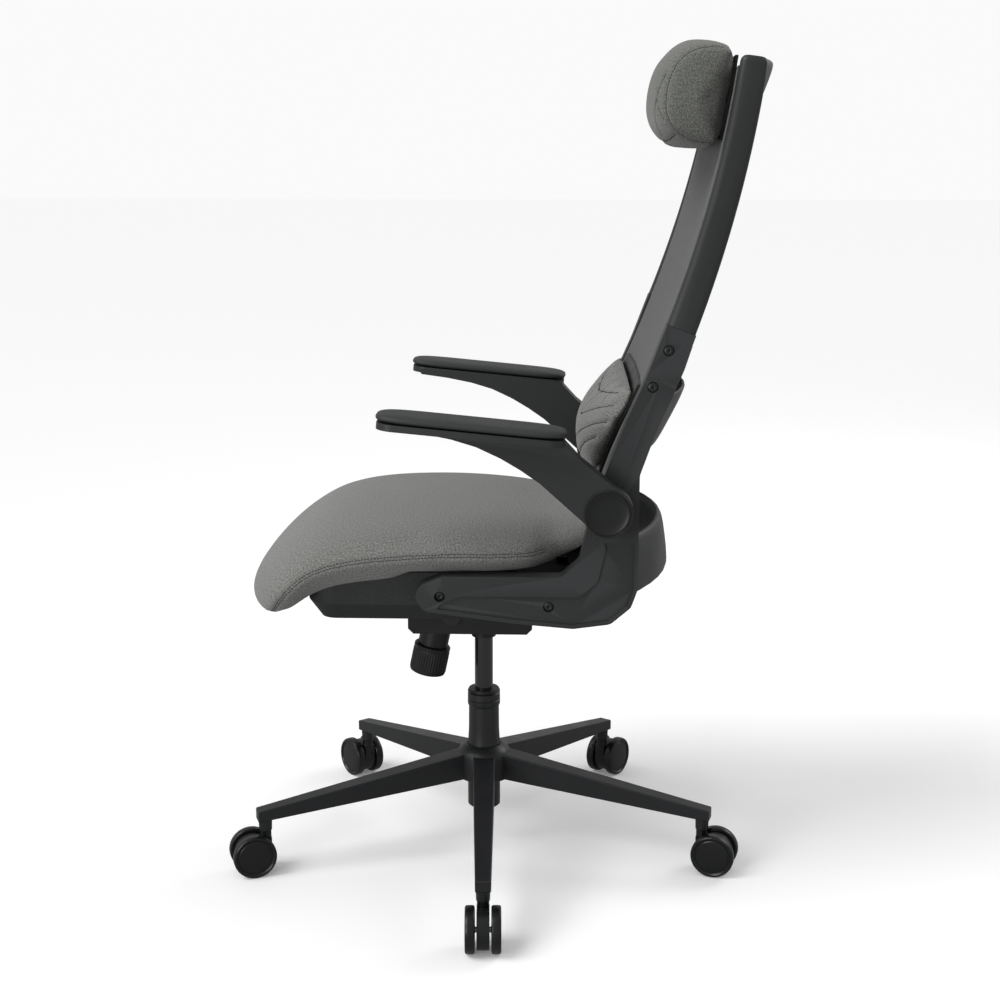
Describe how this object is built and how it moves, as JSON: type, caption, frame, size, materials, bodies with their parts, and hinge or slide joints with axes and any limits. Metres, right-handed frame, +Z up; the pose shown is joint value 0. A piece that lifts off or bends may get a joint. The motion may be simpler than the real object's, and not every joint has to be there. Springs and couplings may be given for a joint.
{
  "type": "gaming chair",
  "caption": "High-backed swivel gaming chair with a reclining padded seat, mesh-style fabric back, headrest, lumbar pad, flip-up armrests and a star base on twin-wheel casters.",
  "frame": {"origin": "on the floor, on the axis of the swivel column", "axes": "+Z up, the sitter faces -Y, +X is the sitter's left"},
  "size_m": [0.7404, 0.7883, 1.2145],
  "materials": {
    "nylon_base": "moulded glass-filled nylon, satin with a fine grain",
    "nylon_frame": "moulded nylon, fine spark-eroded texture",
    "black_plastic": "moulded polypropylene, satin",
    "caster_plastic": "moulded nylon wheels with a polyurethane tread",
    "armrest_skin": "soft integral-skin polyurethane",
    "shell_board": "moulded polypropylene shell with a coarse grain",
    "steel": "zinc-plated steel",
    "black_steel": "black powder-coated steel",
    "gas_spring": "black enamelled steel, semi-gloss",
    "seat_fabric": "heather grey woven upholstery over foam",
    "headrest_fabric": "heather grey woven upholstery over foam",
    "back_fabric": "stretched dark grey woven fabric"
  },
  "bodies": {
    "base": {"star_base": "nylon_base", "caster_stems": "steel", "column_tube": "black_steel", "column_bush": "black_plastic", "rod_bearing": "steel"},
    "column_rod": {"piston_rod": "steel", "rod_clip": "steel"},
    "lift": {"gas_cylinder": "gas_spring", "tilt_housing": "black_plastic", "tilt_pin": "steel", "tilt_springs": "steel"},
    "gas_valve": {"gas_button": "steel"},
    "knob": {"tension_knob": "black_plastic", "tension_bolt": "steel"},
    "knob_nut": {"tension_nut": "steel"},
    "lever_lock": {"lever_sleeve": "black_plastic"},
    "lever": {"height_lever": "black_plastic"},
    "seat": {"seat_plate": "black_steel", "seat_shell": "shell_board", "seat_cushion": "seat_fabric", "frame_screws": "black_steel", "arm_pins": "steel", "top_rail": "nylon_frame", "lumbar_rail": "nylon_frame", "lower_rail": "nylon_frame", "back_panel": "back_fabric", "lumbar_carrier": "black_plastic", "lumbar_pad": "seat_fabric", "headrest_plate": "black_plastic", "headrest_pad": "headrest_fabric", "side_bracket_left": "nylon_frame", "side_bracket_right": "nylon_frame", "back_upright_left": "nylon_frame", "back_upright_right": "nylon_frame"},
    "arm_l": {"arm_left": "nylon_frame", "arm_pad_left": "armrest_skin", "arm_cap_left": "black_plastic"},
    "arm_r": {"arm_right": "nylon_frame", "arm_pad_right": "armrest_skin", "arm_cap_right": "black_plastic"},
    "caster_1": {"caster_hood_1": "caster_plastic", "caster_axle_1": "steel"},
    "wheel_a_1": {"caster_wheel_a_1": "caster_plastic"},
    "wheel_b_1": {"caster_wheel_b_1": "caster_plastic"},
    "caster_2": {"caster_hood_2": "caster_plastic", "caster_axle_2": "steel"},
    "wheel_a_2": {"caster_wheel_a_2": "caster_plastic"},
    "wheel_b_2": {"caster_wheel_b_2": "caster_plastic"},
    "caster_3": {"caster_hood_3": "caster_plastic", "caster_axle_3": "steel"},
    "wheel_a_3": {"caster_wheel_a_3": "caster_plastic"},
    "wheel_b_3": {"caster_wheel_b_3": "caster_plastic"},
    "caster_4": {"caster_hood_4": "caster_plastic", "caster_axle_4": "steel"},
    "wheel_a_4": {"caster_wheel_a_4": "caster_plastic"},
    "wheel_b_4": {"caster_wheel_b_4": "caster_plastic"},
    "caster_5": {"caster_hood_5": "caster_plastic", "caster_axle_5": "steel"},
    "wheel_a_5": {"caster_wheel_a_5": "caster_plastic"},
    "wheel_b_5": {"caster_wheel_b_5": "caster_plastic"}
  },
  "joints": [
    {"name": "swivel", "type": "hinge", "parent": "base", "child": "column_rod", "pos_m": [0, 0, 0.2], "axis": [0, 0, 1], "continuous": true},
    {"name": "height", "type": "slide", "parent": "column_rod", "child": "lift", "axis": [0, 0, 1], "range_m": [-0.07, 0.02]},
    {"name": "recline", "type": "hinge", "parent": "lift", "child": "seat", "pos_m": [0, -0.045, 0.39], "axis": [-1, 0, 0], "range_deg": [0, 15], "stiffness_Nm_per_rad": 180, "springref_deg": -20.05},
    {"name": "arm_flip_left", "type": "hinge", "parent": "seat", "child": "arm_l", "pos_m": [0.2825, 0.179, 0.593], "axis": [-1, 0, 0], "range_deg": [0, 90]},
    {"name": "arm_flip_right", "type": "hinge", "parent": "seat", "child": "arm_r", "pos_m": [-0.2825, 0.179, 0.593], "axis": [-1, 0, 0], "range_deg": [0, 90]},
    {"name": "tension_turn", "type": "hinge", "parent": "lift", "child": "knob", "pos_m": [0, -0.083, 0.301], "axis": [0, 0.2079, 0.9781], "range_deg": [-1440, 0]},
    {"name": "tension_slide", "type": "slide", "parent": "lift", "child": "knob_nut", "axis": [0, 0.2079, 0.9781], "range_m": [0, 0.0061]},
    {"name": "tilt_lock", "type": "slide", "parent": "lift", "child": "lever_lock", "axis": [-1, 0, 0], "range_m": [0, 0.012]},
    {"name": "height_release", "type": "hinge", "parent": "lever_lock", "child": "lever", "pos_m": [-0.042, 0, 0.384], "axis": [0, 1, 0], "range_deg": [0, 4], "stiffness_Nm_per_rad": 1.5, "springref_deg": -8.59},
    {"name": "valve_press", "type": "slide", "parent": "lift", "child": "gas_valve", "axis": [0, 0, -1], "range_m": [0, 0.0031]},
    {"name": "caster_swivel_1", "type": "hinge", "parent": "base", "child": "caster_1", "pos_m": [0.34472, 0.01384, 0.06], "axis": [0, 0, 1], "continuous": true},
    {"name": "wheel_roll_a_1", "type": "hinge", "parent": "caster_1", "child": "wheel_a_1", "pos_m": [0.36471, 0.01465, 0.0325], "axis": [-0.0401, 0.9992, 0], "continuous": true},
    {"name": "wheel_roll_b_1", "type": "hinge", "parent": "caster_1", "child": "wheel_b_1", "pos_m": [0.36471, 0.01465, 0.0325], "axis": [-0.0401, 0.9992, 0], "continuous": true},
    {"name": "caster_swivel_2", "type": "hinge", "parent": "base", "child": "caster_2", "pos_m": [0.09336, 0.33213, 0.06], "axis": [0, 0, 1], "continuous": true},
    {"name": "wheel_roll_a_2", "type": "hinge", "parent": "caster_2", "child": "wheel_a_2", "pos_m": [0.09877, 0.35138, 0.0325], "axis": [-0.9627, 0.2706, 0], "continuous": true},
    {"name": "wheel_roll_b_2", "type": "hinge", "parent": "caster_2", "child": "wheel_b_2", "pos_m": [0.09877, 0.35138, 0.0325], "axis": [-0.9627, 0.2706, 0], "continuous": true},
    {"name": "caster_swivel_3", "type": "hinge", "parent": "base", "child": "caster_3", "pos_m": [-0.28702, 0.19142, 0.06], "axis": [0, 0, 1], "continuous": true},
    {"name": "wheel_roll_a_3", "type": "hinge", "parent": "caster_3", "child": "wheel_a_3", "pos_m": [-0.30366, 0.20252, 0.0325], "axis": [-0.5548, -0.832, 0], "continuous": true},
    {"name": "wheel_roll_b_3", "type": "hinge", "parent": "caster_3", "child": "wheel_b_3", "pos_m": [-0.30366, 0.20252, 0.0325], "axis": [-0.5548, -0.832, 0], "continuous": true},
    {"name": "caster_swivel_4", "type": "hinge", "parent": "base", "child": "caster_4", "pos_m": [-0.27075, -0.21382, 0.06], "axis": [0, 0, 1], "continuous": true},
    {"name": "wheel_roll_a_4", "type": "hinge", "parent": "caster_4", "child": "wheel_a_4", "pos_m": [-0.28644, -0.22622, 0.0325], "axis": [0.6198, -0.7848, 0], "continuous": true},
    {"name": "wheel_roll_b_4", "type": "hinge", "parent": "caster_4", "child": "wheel_b_4", "pos_m": [-0.28644, -0.22622, 0.0325], "axis": [0.6198, -0.7848, 0], "continuous": true},
    {"name": "caster_swivel_5", "type": "hinge", "parent": "base", "child": "caster_5", "pos_m": [0.11969, -0.32357, 0.06], "axis": [0, 0, 1], "continuous": true},
    {"name": "wheel_roll_a_5", "type": "hinge", "parent": "caster_5", "child": "wheel_a_5", "pos_m": [0.12663, -0.34233, 0.0325], "axis": [0.9379, 0.3469, 0], "continuous": true},
    {"name": "wheel_roll_b_5", "type": "hinge", "parent": "caster_5", "child": "wheel_b_5", "pos_m": [0.12663, -0.34233, 0.0325], "axis": [0.9379, 0.3469, 0], "continuous": true}
  ],
  "couplings": [
    {"joint": "tension_slide", "follows": "tension_turn", "m_per_rad": -0.00023873},
    {"joint": "valve_press", "follows": "height_release", "m_per_rad": 0.042}
  ]
}
